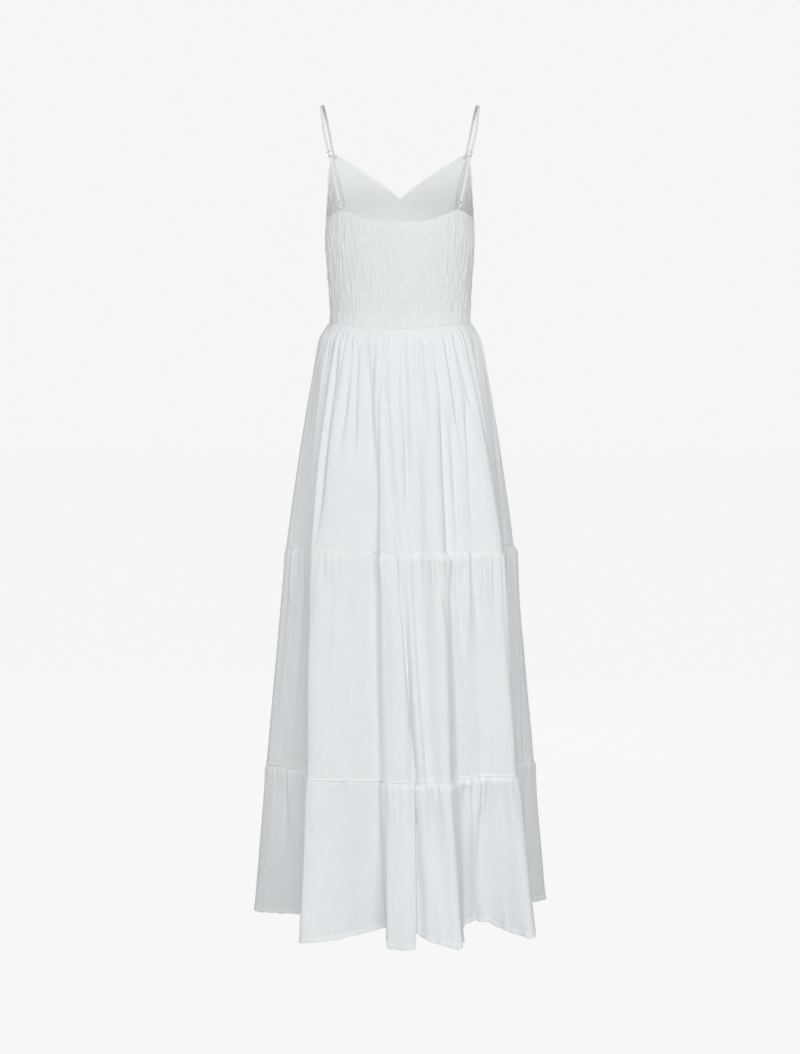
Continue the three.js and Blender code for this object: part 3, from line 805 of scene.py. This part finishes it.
def crumple():
    """Small soft creases of worn-in cotton, as a height."""
    group, given, result = node_group("Crumple", {"Place": None, "Scale": 30.0}, ("Height",))
    stretched = scaled(group, given["Place"], (1.0, 1.0, 0.45))
    broad = noise(group, stretched, given["Scale"], 3.0)
    fine = noise(group, stretched, math_node(group, "MULTIPLY", given["Scale"], 2.7), 2.0)
    feed(group, result["Height"], math_node(group, "ADD", broad, math_node(group, "MULTIPLY", fine, 0.4)))
    return group


WEAVE = plain_weave()
CRUMPLE = crumple()
MARKS = soft_marks()


# Materials
# White for cloth that lies double, also laid on as painted highlight along seams and the hem and as painted
# light on the lower straps and the tabs
DOUBLE_AND_LIT_WHITE = (0.87, 0.88, 0.885, 1)
METAL = (0.80, 0.81, 0.83, 1)
METAL_SHADE = (0.62, 0.63, 0.65, 1)
# Two tones, threads per metre, how strongly weave and creases show, and how much light passes into
# the cloth and how deep, in metres
CLOTHS = table(
    "name light shade threads weave creased through depth",
    ("skirt cloth", (0.735, 0.757, 0.771, 1), (0.69, 0.716, 0.735, 1), 1900.0, 0.25, 0.5, 0.4, 0.0007),
    # darker than the skirt's white: painted shade of the gathers' self-shadowing
    ("shirred cloth", (0.715, 0.735, 0.748, 1), (0.67, 0.692, 0.707, 1), 1900.0, 0.25, 0.3, 0.2, 0.0007),
    # lighter than the skirt's white: painted light on the bodice front's inside, which lies in shade
    ("front cloth", (0.778, 0.792, 0.803, 1), (0.742, 0.76, 0.775, 1), 2100.0, 0.2, 0.25, 0.9, 0.0022),
    # darker than the skirt's white: painted shade on the straps' upper loop
    ("strap cloth", (0.665, 0.68, 0.69, 1), (0.615, 0.63, 0.645, 1), 2300.0, 0.3, 0.1, 0.1, 0.0005),
    ("sewing thread", (0.735, 0.757, 0.771, 1), (0.69, 0.716, 0.735, 1), 4000.0, 0.3, 0.0, 0.0, 0.0005),
)


def new_material(name):
    material = bpy.data.materials.new(name)
    material.use_nodes = True
    tree = material.node_tree
    where = tree.nodes.new("ShaderNodeTexCoord").outputs
    return material, tree, tree.nodes["Principled BSDF"].inputs, where


def cloth_material(name, light, shade, threads, weave, creased, through, depth):
    material, tree, shader, where = new_material(name)
    cloth = placed(tree, WEAVE, {"Cloth": where["UV"], "Threads per metre": threads})
    marks = placed(tree, MARKS, {"Place": where["Object"], "Scale": 7.0})
    slub_tone = ranged(tree, cloth["Slubs"], (0.4, 0.8), (0.6, 1.3))
    tone = math_node(tree, "MULTIPLY", marks["Mask"], slub_tone)
    # whiter where the cloth lies double, and where light is painted on
    double_and_lit = made(tree, "ShaderNodeAttribute", {}, attribute_name="double_and_lit")["Fac"]
    feed(tree, shader["Base Color"], tinted(tree, double_and_lit, tinted(tree, tone, light, shade), DOUBLE_AND_LIT_WHITE))
    feed(tree, shader["Roughness"], ranged(tree, cloth["Slubs"], (0.3, 0.8), (0.78, 0.92)))
    creases = placed(tree, CRUMPLE, {"Place": where["Object"], "Scale": 26.0})
    soft = bumped(tree, creases["Height"], creased, 0.004)
    feed(tree, shader["Normal"], bumped(tree, cloth["Height"], weave, 0.0002, Normal=soft))
    shader["Specular IOR Level"].default_value = 0.08
    shader["Subsurface Weight"].default_value = through
    shader["Subsurface Radius"].default_value = (1.0, 1.0, 1.0)
    shader["Subsurface Scale"].default_value = depth
    return material


def metal_material():
    material, tree, shader, where = new_material("pale metal")
    marks = placed(tree, MARKS, {"Place": where["Object"], "Scale": 900.0})
    feed(tree, shader["Base Color"], tinted(tree, marks["Mask"], METAL, METAL_SHADE))
    feed(tree, shader["Roughness"], ranged(tree, marks["Mask"], (0.3, 0.7), (0.16, 0.3)))
    shader["Metallic"].default_value = 1.0
    return material


CLOTH = {row["name"]: cloth_material(**row) for row in CLOTHS}
PALE_METAL = metal_material()


# Skirt
def make_skirt():
    """The six half tiers; gives back the lines where the hem is sewn, with the way out from each point."""
    hem_lines = []
    for tier in ("upper", "middle", "lower"):
        for side in ("back", "front"):
            grid, double_and_lit = tier_grid(tier, side)
            piece = shell(f"skirt_{tier}_{side}_cloth", grid, CLOTH_THICK, TIER_CUT[tier])
            mark_double_and_lit(piece, np.stack([double_and_lit, double_and_lit]))
            dress_piece(piece, CLOTH["skirt cloth"], "skirt_cloth", f"skirt_{tier}_{side}")
            if tier == "lower":
                outs = normals_of(grid)[HEM_ROW]
                hem_lines.append((grid[HEM_ROW] + outs * CLOTH_THICK / 2, outs))
    return hem_lines


def make_hem_stitches(lines):
    """Running stitches along the hem as one mesh, each a small bar pinched at its ends."""
    points, faces = [], []
    for path, outs in lines:
        run = run_of(path)
        count = int(run[-1] / STITCH["pitch"])
        middle = (np.arange(count) + 0.5) * STITCH["pitch"]
        at, out = resampled(path, run, middle), resampled(outs, run, middle)
        forward = unit(np.gradient(at, axis=0))
        up = np.cross(forward, out)
        start = sum(len(p) for p in points)
        for reach, narrow in ((-0.5, 0.3), (-0.3, 1.0), (0.3, 1.0), (0.5, 0.3)):
            ring = at + forward * reach * STITCH["long"] + out * STITCH["proud"] * narrow
            for side, rise in ((-1, 0), (0, 1), (1, 0), (0, -1)):
                points.append(ring + (up * side + out * rise) * STITCH["half_wide"] * narrow)
        rings = start + np.arange(16 * count).reshape(4, 4, count)
        here, ahead = rings[:-1], rings[1:]
        around = np.stack([here, ahead, np.roll(ahead, -1, 1), np.roll(here, -1, 1)], -1)
        faces += [around.reshape(-1, 4), rings[0].T, rings[-1, ::-1].T]
    stitches = new_piece("hem_stitches", np.concatenate(points), np.concatenate(faces))
    dress_piece(stitches, CLOTH["sewing thread"], "skirt_cloth")


# Bodice
def shirr_out(turn, share, down_share, down):
    """Upright gathers that start, stop and lean unevenly, flatter at the centre back."""
    out = np.zeros((down_share.size, share.size))
    columns = np.arange(share.size)
    for layer in SHIRRING:
        draw = np.random.default_rng(layer["seed"])
        knots, count = layer["knots"], layer["count"]
        at = down_share[:, None] * (knots - 1)
        low = np.minimum(np.floor(at).astype(int), knots - 2)
        blend = ease(at - low)
        leans = [SHIRR_LEAN * wander(share, layer["seed"] + k, (5, 9, 14, 23)) for k in range(knots)]
        leans = np.stack(leans)
        drift = mix(leans[low, columns], leans[low + 1, columns], blend)
        phase = share * count + UNEVEN * wander(share, layer["seed"] + 50) + drift
        ridge = np.abs(np.sin(np.pi * phase)) ** 0.9
        n = np.floor(phase).astype(int) % count
        highs = draw.normal(SHIRR_HIGH["mean"], SHIRR_HIGH["spread"], (knots, count))
        highs = np.clip(highs, SHIRR_HIGH["least"], SHIRR_HIGH["most"])
        out = out + layer["height"] * mix(highs[low, n], highs[low + 1, n], blend) * ridge
    to_side = ease((np.abs(turn) - SHIRR_FULL["from_turn"]) / SHIRR_FULL["over"])
    fullness = mix(SHIRR_FULL["middle"], SHIRR_FULL["sides"], to_side)
    header = mix(HEADER["share"], 1, ease((down - HEADER["deep"]) / HEADER["soft"]))
    elastic_rows = np.cos(np.pi * down / ELASTIC_SPACING) ** 8
    return out * fullness * header * (1 - ELASTIC_PULL * elastic_rows)


def shirred_grid():
    seam = SIDE_FRONT_TURN - SIDE_FRONT_GAP
    turn = np.linspace(-seam, seam, SHIRR_COLUMNS + 1)
    lines = np.linspace(0, 1, SHIRR_LINES)
    top, low = back_top_z(turn)[None, :], waist_z(turn)[None, :] + SEAM_GAP / 2
    z = mix(top, low, lines[:, None])
    out = shirr_out(turn, (turn + seam) / (2 * seam), lines, top - z)
    sink = mix(WAIST_SINK["sink"], SHIRR_SINK, ease((z - low) / WAIST_SINK["tall"]))
    out = out * mix(WAIST_FLAT["share"], 1, clamp01((z - low) / WAIST_FLAT["tall"])) - sink
    return figure_point(turn[None, :], z, out)


def front_grid():
    seam = SIDE_FRONT_TURN + SIDE_FRONT_GAP
    turn = np.linspace(seam, 360 - seam, FRONT_COLUMNS)[None, :]
    lines = np.linspace(0, 1, FRONT_LINES)[:, None]
    z = mix(front_top_z(turn), waist_z(turn) + SEAM_GAP / 2, lines)
    return figure_point(turn, z, -FRONT_THICK / 2)


def make_bodice():
    back = shell("bodice_back_cloth", shirred_grid(), SHIRRED_THICK, BACK_TEXTURE)
    dress_piece(back, CLOTH["shirred cloth"], "shirred_cloth", "bodice_back_shirred")
    front = shell("bodice_front_cloth", front_grid(), FRONT_THICK, FRONT_TEXTURE)
    dress_piece(front, CLOTH["front cloth"], "bodice_cloth", "bodice_front")


def make_elastic():
    """Elastic threads inside the shirred panel, straight across the insides of its gathers."""
    turn = np.linspace(-SIDE_FRONT_TURN + 1, SIDE_FRONT_TURN - 1, ELASTIC_STEPS + 1)
    top, low = back_top_z(turn), waist_z(turn)
    rows = round((back_top_z(0.0) - waist_z(0.0)) / ELASTIC_SPACING)
    inside = -SHIRR_SINK - SHIRRED_THICK - ELASTIC_RADIUS
    parts = []
    for n in range(rows):
        path = figure_point(turn, mix(top, low, (n + ELASTIC_FIRST) / rows), inside)
        parts.append(swept(path, path * (1, 1, 0), 2 * ELASTIC_RADIUS, 2 * ELASTIC_RADIUS, ELASTIC_SIDES))
    dress_piece(joined("elastic_threads", parts), CLOTH["sewing thread"], "shirred_cloth")


# Straps and fittings
# The first two points of a strap lie inside the front corner: turn past it, rise above it and way out
# from the figure's line. The route then goes over the left shoulder.
STRAP_START = table("turn rise out", (1.5, -10.0, -3.2), (0.8, 1.0, -2.2))
STRAP_ROUTE = [
    (122, -53.5, -52),
    (128, -44, -22),
    (132.6, -24, -3),
    (134.6, 0, 0.8),
    (134.6, 22, -9),
    (131.2, 39, -42),
    (126.4, 46, -67),
]
SHOULDER_CENTRE = np.array([128.0, 0.0, -70.0])
SLIDER_AT = np.array([121.4, 50.2, -86.3])
BACK_LEAN = np.array([0.5, 0.86, 0.05])
TAB_TURN = 51.0
STRAP_WIDTH = 4.4
STRAP_THICK = 1.3
STRAP_STEPS = 230
LOOP_START = 0.55  # share of the strap's length where it meets the slider and then runs double
LOOP_SOFT = 0.06
# How far the strap past the slider and the ring's tab are whitened: doubled cloth, with painted light where
# the lower strap catches light
STRAP_DOUBLE_AND_LIT = 0.32
BAND_SIDES = 16
FLAT_ROUND = (0.55, 0.75)  # how square a flat section is across and through it; 1 is round
CURVE_STEPS = 24
FITTING_WIDTH = 9.0
SLIDER_HEIGHT = 9.3
SLIDER_CORNER = 2.4
RING_HEIGHT = 8.0
RING_CORNER = 3.0
CORNER_STEPS = 7
BAR_STEPS = 7
WIRE = 0.68  # radius
WIRE_SIDES = 12
BAR = 1.3  # width of a fitting's bar
TAB_LOW = 3.0  # where the tab comes clear of the back's upper edge
TAB_LENGTH = 5.0
TAB_THICK = 1.0
TAB_STEPS = 60
RING_UP = TAB_LOW + TAB_LENGTH + RING_HEIGHT / 2 - BAR / 2
RING_TOP = RING_UP + RING_HEIGHT / 2 - BAR / 2
RING_LOW = RING_UP - RING_HEIGHT / 2 + BAR / 2
ROUND_BAR = WIRE + STRAP_THICK / 2 + 0.05  # from a bar's middle to the middle of the strap round it


def curve_through(points, steps):
    """Smooth curve through points, evenly spaced along its length; columns after the third go along."""
    ends = np.concatenate([[2 * points[0] - points[1]], points, [2 * points[-1] - points[-2]]])
    t = np.linspace(0, 1, CURVE_STEPS, endpoint=False)[:, None]
    fine = []
    for p, q, r, s in zip(ends, ends[1:], ends[2:], ends[3:]):
        square, cube = 2 * p - 5 * q + 4 * r - s, 3 * q - p - 3 * r + s
        fine.append(0.5 * (2 * q + (r - p) * t + square * t**2 + cube * t**3))
    fine = np.concatenate(fine + [points[-1:]])
    run = run_of(fine[:, :3])
    return resampled(fine, run, np.linspace(0, run[-1], steps + 1))


def rounded(wave, power):
    return np.sign(wave) * np.abs(wave) ** power


def swept(path, outs, wide, thick, sides, closed=False):
    """Tube along a path: its points, faces and texture places. A wide one has a rounded flat section,
    with its flat side facing along outs."""
    forward = unit(np.roll(path, -1, 0) - np.roll(path, 1, 0) if closed else np.gradient(path, axis=0))
    outs = unit(outs - forward * (outs * forward).sum(1, keepdims=True))
    across = np.cross(forward, outs)
    angle = np.linspace(0, 2 * np.pi, sides, endpoint=False)
    powers = FLAT_ROUND if wide > 1.5 * thick else (1.0, 1.0)
    w = rounded(np.cos(angle), powers[0]) * wide / 2
    t = rounded(np.sin(angle), powers[1]) * thick / 2
    rings = path[:, None] + across[:, None] * w[None, :, None] + outs[:, None] * t[None, :, None]
    index = np.arange(len(path) * sides).reshape(-1, sides)
    here, ahead = (index, np.roll(index, -1, 0)) if closed else (index[:-1], index[1:])
    faces = np.stack([here, np.roll(here, -1, 1), np.roll(ahead, -1, 1), ahead], -1).reshape(-1, 4).tolist()
    if not closed:
        faces += [index[0][::-1].tolist(), index[-1].tolist()]
    around = np.linspace(0, 2 * (wide + thick) * MM, sides)
    places = np.stack(np.meshgrid(around, run_of(path) * MM), -1).reshape(-1, 2)
    return rings.reshape(-1, 3), faces, places


def joined(name, parts):
    """One piece made of several tubes."""
    points, faces, places, start = [], [], [], 0
    for part_points, part_faces, part_places in parts:
        points.append(part_points)
        places.append(part_places)
        faces += [[i + start for i in face] for face in part_faces]
        start += len(part_points)
    return new_piece(name, np.concatenate(points), np.array(faces, dtype=object), np.concatenate(places))


def fitting_frame(side):
    """Where the back's upper edge carries the strap: its place, the across, up and out directions
    there, and the way up to the slider."""
    flip = np.array([side, 1, 1])
    base = figure_point(side * TAB_TURN, back_top_z(TAB_TURN))
    reach = SLIDER_AT * flip - base
    up = unit(reach)
    lean = BACK_LEAN * flip
    out = unit(lean - up * (lean @ up))
    return base, np.stack([np.cross(up, out), up, out]), np.linalg.norm(reach)


def band_points(base, axes, rows):
    """Points of a band's middle line, each followed by the direction that its flat side faces."""
    up, out = axes[1:]
    facing = {"out": out, "in": -out, "up": up, "down": -up}
    places = [base + row["rise"] * up + row["off"] * out for row in rows]
    return np.concatenate([places, [facing[row["faces"]] for row in rows]], 1)


def strap_points(side, base, axes, slider_up):
    """From inside the front corner over the shoulder, through the slider, round the ring's upper bar
    and back up to the slider."""
    flip = np.array([side, 1, 1])
    turn, rise, off = columns(STRAP_START, "turn rise out")
    start = figure_point(side * (SIDE_FRONT_TURN + turn), FRONT_CORNER_Z + rise, off)
    route = np.concatenate([start, np.array(STRAP_ROUTE) * flip])
    shoulder = np.concatenate([route, unit(route - SHOULDER_CENTRE * flip)], 1)
    low = slider_up - SLIDER_HEIGHT / 2 + BAR / 2
    top = slider_up + SLIDER_HEIGHT / 2 - BAR / 2
    half_way = mix(RING_TOP, low, 0.5)
    threaded = table(
        "rise off faces",
        (top + 3.5, -ROUND_BAR * 0.4, "out"),
        (top, -ROUND_BAR, "out"),
        (slider_up, ROUND_BAR, "out"),
        (low, -ROUND_BAR, "out"),
        (low - 6, -ROUND_BAR * 0.35, "out"),
        (half_way, 0.6, "out"),
        (RING_TOP + 5, 1.1, "out"),
        (RING_TOP + 0.6, ROUND_BAR, "out"),
        (RING_TOP - ROUND_BAR, 0.0, "down"),
        (RING_TOP + 0.6, -ROUND_BAR, "in"),
        (RING_TOP + 6, -1.3, "in"),
        (half_way, -1.25, "in"),
        (low - 5, -ROUND_BAR - STRAP_THICK * 0.9, "in"),
        (low, -ROUND_BAR - STRAP_THICK * 1.05, "in"),
        (slider_up - 1.2, -ROUND_BAR, "in"),
    )
    return np.concatenate([shoulder, band_points(base, axes, threaded)])


# A ring's tab: a folded strip round the ring's lower bar, its ends behind the back's upper edge
TAB_FOLD = table(
    "rise off faces",
    (-5.0, -3.4, "in"),
    (-1.0, -2.6, "in"),
    (TAB_LOW, -1.5, "in"),
    (RING_LOW - 2.2, -1.3, "in"),
    (RING_LOW - 0.3, -ROUND_BAR, "in"),
    (RING_LOW + ROUND_BAR, 0.0, "up"),
    (RING_LOW - 0.3, ROUND_BAR, "out"),
    (RING_LOW - 2.2, 1.2, "out"),
    (TAB_LOW, 0.3, "out"),
    (0.8, -0.9, "out"),
)


def make_band(name, points, steps, thick, double_and_lit, *nodes):
    line = curve_through(points, steps)
    band = joined(name, [swept(line[:, :3], line[:, 3:], STRAP_WIDTH, thick, BAND_SIDES)])
    mark_double_and_lit(band, np.repeat(double_and_lit, BAND_SIDES))
    dress_piece(band, CLOTH["strap cloth"], "strap_cloth", *nodes)


def wire_frame(base, axes, rise, height, corner):
    """A closed wire loop with round corners, its middle at a rise above the back's edge."""
    across, up, out = axes
    half_x, half_y = (FITTING_WIDTH - BAR) / 2 - corner, (height - BAR) / 2 - corner
    loop = []
    for x, y, start in ((1, 1, 0), (-1, 1, 90), (-1, -1, 180), (1, -1, 270)):
        for angle in np.radians(np.linspace(start, start + 90, CORNER_STEPS)):
            sideways = x * half_x + corner * np.cos(angle)
            upwards = rise + y * half_y + corner * np.sin(angle)
            loop.append(base + sideways * across + upwards * up)
    return wire(np.array(loop), out, closed=True)


def wire(path, out, closed=False):
    return swept(path, np.tile(out, (len(path), 1)), 2 * WIRE, 2 * WIRE, WIRE_SIDES, closed)


def make_straps():
    past_slider = ease((np.linspace(0, 1, STRAP_STEPS + 1) - LOOP_START) / LOOP_SOFT)
    # the strap past the slider is whitened: doubled cloth, and painted light
    double_and_lit = STRAP_DOUBLE_AND_LIT * past_slider
    for label, side in (("left", 1), ("right", -1)):
        base, axes, slider_up = fitting_frame(side)
        points = strap_points(side, base, axes, slider_up)
        nodes = (f"strap_{label}", f"strap_loop_{label}")
        make_band(f"strap_{label}_cloth", points, STRAP_STEPS, STRAP_THICK, double_and_lit, *nodes)
        points = band_points(base, axes, TAB_FOLD)
        tab_double_and_lit = np.full(TAB_STEPS + 1, STRAP_DOUBLE_AND_LIT)
        make_band(f"ring_tab_{label}_cloth", points, TAB_STEPS, TAB_THICK, tab_double_and_lit, f"ring_tab_{label}")

        across, up, out = axes
        reach = np.linspace(-1, 1, BAR_STEPS)[:, None] * (FITTING_WIDTH - BAR) / 2
        middle_bar = wire(base + slider_up * up + reach * across, out)
        outline = wire_frame(base, axes, slider_up, SLIDER_HEIGHT, SLIDER_CORNER)
        slider = joined(f"slider_{label}_metal", [outline, middle_bar])
        dress_piece(slider, PALE_METAL, "strap_metal", f"slider_{label}")
        ring = joined(f"ring_{label}_metal", [wire_frame(base, axes, RING_UP, RING_HEIGHT, RING_CORNER)])
        dress_piece(ring, PALE_METAL, "strap_metal", f"ring_{label}")


make_hem_stitches(make_skirt())
make_bodice()
make_straps()
make_elastic()

# Studio: pale floor and surroundings, soft light, camera at the photograph's angle
FLOOR_Z = -1.80
FLOOR_RADIUS = 30.0
FLOOR_SIDES = 96
FLOOR_TONE = (0.030, 0.030, 0.030, 1)
FLOOR_SHADE = (0.026, 0.026, 0.026, 1)
PALE = 0.92  # brightness of floor and surroundings as the camera sees them
PALE_TINT = (0.998, 0.999, 1.0, 1)
AMBIENT = 0.27  # brightness of the surroundings as they light the dress
WARM = (1.0, 0.995, 0.985)
COOL = (0.93, 1.0, 1.0)
LIGHTS = table(
    "name place target size power tint",
    ("front softbox", (-0.2, 5.6, 1.4), (0, 0, -0.65), (6.5, 4.0), 352, WARM),
    ("left softbox", (3.3, 0.6, -0.4), (0, 0, -0.8), (1.5, 2.4), 22, COOL),
    ("right softbox", (-3.3, 0.9, -0.1), (0, 0, -0.6), (1.5, 2.4), 22, COOL),
    ("far softbox", (-0.4, -5.5, 0.9), (0, 0, -0.6), (2.0, 2.0), 116, WARM),
)
CAMERA = {"distance": 4.5, "elevation": 4.0, "target_z": -0.730}
PICTURE = {"mm_per_pixel": 1.75, "height": 1054}


def make_floor():
    material, tree, shader, where = new_material("pale floor")
    marks = placed(tree, MARKS, {"Place": where["Object"], "Scale": 0.4})
    feed(tree, shader["Base Color"], tinted(tree, marks["Mask"], FLOOR_TONE, FLOOR_SHADE))
    shader["Roughness"].default_value = 1.0
    shader["Specular IOR Level"].default_value = 0.0
    shader["Emission Color"].default_value = PALE_TINT
    shader["Emission Strength"].default_value = PALE - 0.01
    turns = np.linspace(0, 2 * np.pi, FLOOR_SIDES, endpoint=False)
    rim = [(FLOOR_RADIUS * math.cos(a), FLOOR_RADIUS * math.sin(a), FLOOR_Z) for a in turns]
    mesh = bpy.data.meshes.new("studio_floor")
    mesh.from_pydata(rim, [], [list(range(len(rim)))])
    mesh.materials.append(material)
    floor = in_scene("studio_floor", mesh)
    floor.visible_diffuse = False


def make_surroundings():
    """Pale behind the dress, and a dimmer even light from all round it."""
    world = bpy.context.scene.world or bpy.data.worlds.new("studio")
    bpy.context.scene.world = world
    world.use_nodes = True
    tree = world.node_tree
    background = tree.nodes["Background"].inputs
    seen = tree.nodes.new("ShaderNodeLightPath").outputs["Is Camera Ray"]
    feed(tree, background["Strength"], ranged(tree, seen, (0, 1), (AMBIENT, PALE)))
    background["Color"].default_value = PALE_TINT


def aim(thing, place, target):
    """Puts a light or the camera at a place, looking at its target."""
    away = unit(np.array(place) - np.array(target))
    side = unit(np.cross((0, 0, 1), away))
    matrix = np.eye(4)
    matrix[:3] = np.stack([side, np.cross(away, side), away, place], 1)
    thing.matrix_world = Matrix(matrix.tolist())


def soft_light(name, place, target, size, power, tint):
    data = bpy.data.lights.new(name, "AREA")
    data.shape = "RECTANGLE"
    data.size, data.size_y = size
    data.energy = power
    data.color = tint
    lamp = in_scene(name, data)
    lamp.visible_camera = False
    aim(lamp, place, target)


def make_camera():
    data = bpy.data.cameras.new("camera")
    camera = in_scene("camera", data)
    distance, tilt = CAMERA["distance"], math.radians(CAMERA["elevation"])
    target = (0, 0, CAMERA["target_z"])
    aim(camera, (0, distance * math.cos(tilt), target[2] + distance * math.sin(tilt)), target)
    data.sensor_fit = "VERTICAL"
    data.sensor_height = 36.0
    data.lens = data.sensor_height * distance / (PICTURE["mm_per_pixel"] * MM * PICTURE["height"])
    data.dof.use_dof = False
    data.clip_end = 60
    bpy.context.scene.camera = camera


make_floor()
for light in LIGHTS:
    soft_light(**light)
make_camera()
make_surroundings()
bpy.context.scene.view_settings.view_transform = "Standard"
